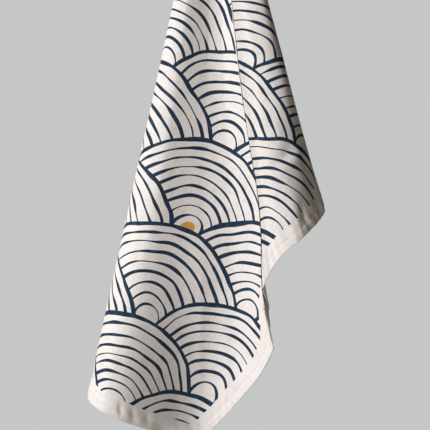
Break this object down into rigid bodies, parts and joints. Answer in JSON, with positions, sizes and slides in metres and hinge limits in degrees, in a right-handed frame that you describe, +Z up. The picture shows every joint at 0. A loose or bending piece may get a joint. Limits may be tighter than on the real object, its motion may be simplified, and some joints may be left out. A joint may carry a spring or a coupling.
{
  "type": "tea towel",
  "caption": "Printed cotton tea towel hanging in loose folds from one point of its top edge.",
  "frame": {"origin": "hang point at the top of the bunch of folds, on the towel's top edge", "axes": "+Z up, the towel hangs down -Z; its printed front faces -Y; +X to the right seen from the front"},
  "size_m": [0.2849, 0.0836, 0.7612],
  "materials": {
    "cotton": "plain woven cotton, natural white, printed in navy"
  },
  "bodies": {
    "root": {"towel": "cotton"}
  },
  "joints": []
}
